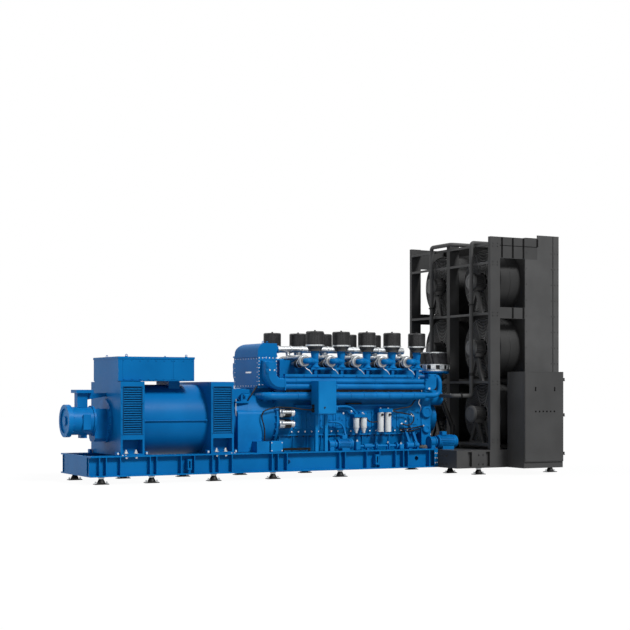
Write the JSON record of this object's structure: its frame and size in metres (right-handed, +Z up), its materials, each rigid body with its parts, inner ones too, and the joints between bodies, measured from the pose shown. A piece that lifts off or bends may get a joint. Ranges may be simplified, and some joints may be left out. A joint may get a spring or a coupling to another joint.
{
  "type": "diesel generator set with electric-fan radiator",
  "caption": "Diesel generator set on a skid: alternator, V-engine with rows of air filters, control box, and an upright radiator with motor-driven fans and a switch cabinet.",
  "frame": {"origin": "on the floor, midway between the outermost anchor holes of the four corner isolators of the skid line", "axes": "+X along the shaft from the alternator to the radiator, -Y the service side with the control box, +Z up"},
  "size_m": [9.681, 3.489, 4.668],
  "materials": {
    "blue_paint": "semi-gloss machine enamel",
    "louvre_blue": "semi-gloss machine enamel",
    "black_paint": "satin powder coat",
    "fan_black": "satin enamel",
    "fan_blade": "moulded fan blades",
    "rubber_black": "moulded rubber",
    "core_black": "matt black fins",
    "filter_black": "moulded, ribbed",
    "bellows_dark": "formed steel folds",
    "cast_aluminium": "cast, bare",
    "white_paint": "gloss white"
  },
  "bodies": {
    "set": {"skid_rails": "blue_paint", "skid_cross_members": "blue_paint", "isolators": "rubber_black", "radiator_base_girders": "black_paint", "radiator_base_beams": "black_paint", "radiator_deck": "black_paint", "alternator_frames": "blue_paint", "alternator_barrel": "blue_paint", "alternator_louvres": "louvre_blue", "alternator_bearing_shield": "blue_paint", "exciter": "blue_paint", "alternator_brackets": "blue_paint", "terminal_box": "blue_paint", "flywheel_housing": "blue_paint", "crankcase": "blue_paint", "oil_pan": "blue_paint", "engine_mounts": "blue_paint", "cylinder_heads": "blue_paint", "turbo_carrier": "blue_paint", "turbochargers": "cast_aluminium", "filter_funnels": "blue_paint", "air_filters": "filter_black", "charge_air_header": "cast_aluminium", "charge_air_cooler": "blue_paint", "cooler_ducts": "blue_paint", "side_pipes": "blue_paint", "exhaust_pipe": "blue_paint", "exhaust_bellows": "bellows_dark", "front_gear_case": "blue_paint", "starters": "cast_aluminium", "canister_filters": "white_paint", "filter_brackets": "blue_paint", "control_box": "blue_paint", "control_box_stand": "blue_paint", "junction_box": "blue_paint", "service_pumps": "blue_paint", "radiator_posts": "black_paint", "radiator_beams": "black_paint", "side_girders": "black_paint", "side_panels": "black_paint", "radiator_core": "core_black", "fan_shrouds_near": "black_paint", "fan_shrouds_far": "black_paint", "fan_guards": "fan_black", "fan_motors": "fan_black", "fan_pedestals": "black_paint", "cabinet": "black_paint", "coolant_pipes": "black_paint", "lower_hose": "rubber_black"},
    "fan_near_low": {"fan_near_low": "fan_blade"},
    "fan_near_mid": {"fan_near_mid": "fan_blade"},
    "fan_near_high": {"fan_near_high": "fan_blade"},
    "fan_far_low": {"fan_far_low": "fan_blade"},
    "fan_far_mid": {"fan_far_mid": "fan_blade"},
    "fan_far_high": {"fan_far_high": "fan_blade"},
    "control_box_door": {"control_box_door": "blue_paint"},
    "cabinet_door": {"cabinet_door": "black_paint"}
  },
  "joints": [
    {"name": "control_box_door_hinge", "type": "hinge", "parent": "set", "child": "control_box_door", "pos_m": [0.8695, -1.039, 1.5], "axis": [0, 0, 1], "range_deg": [0, 115]},
    {"name": "cabinet_door_hinge", "type": "hinge", "parent": "set", "child": "cabinet_door", "pos_m": [5.3615, -2.012, 1.1], "axis": [0, 0, 1], "range_deg": [0, 110]},
    {"name": "fan_near_low_spin", "type": "hinge", "parent": "set", "child": "fan_near_low", "pos_m": [4.4425, -0.727, 1.157], "axis": [1, 0, 0], "continuous": true},
    {"name": "fan_near_mid_spin", "type": "hinge", "parent": "set", "child": "fan_near_mid", "pos_m": [4.4425, -0.727, 2.463], "axis": [1, 0, 0], "continuous": true},
    {"name": "fan_near_high_spin", "type": "hinge", "parent": "set", "child": "fan_near_high", "pos_m": [4.4425, -0.727, 3.769], "axis": [1, 0, 0], "continuous": true},
    {"name": "fan_far_low_spin", "type": "hinge", "parent": "set", "child": "fan_far_low", "pos_m": [4.4425, 0.727, 1.157], "axis": [1, 0, 0], "continuous": true},
    {"name": "fan_far_mid_spin", "type": "hinge", "parent": "set", "child": "fan_far_mid", "pos_m": [4.4425, 0.727, 2.463], "axis": [1, 0, 0], "continuous": true},
    {"name": "fan_far_high_spin", "type": "hinge", "parent": "set", "child": "fan_far_high", "pos_m": [4.4425, 0.727, 3.769], "axis": [1, 0, 0], "continuous": true}
  ]
}
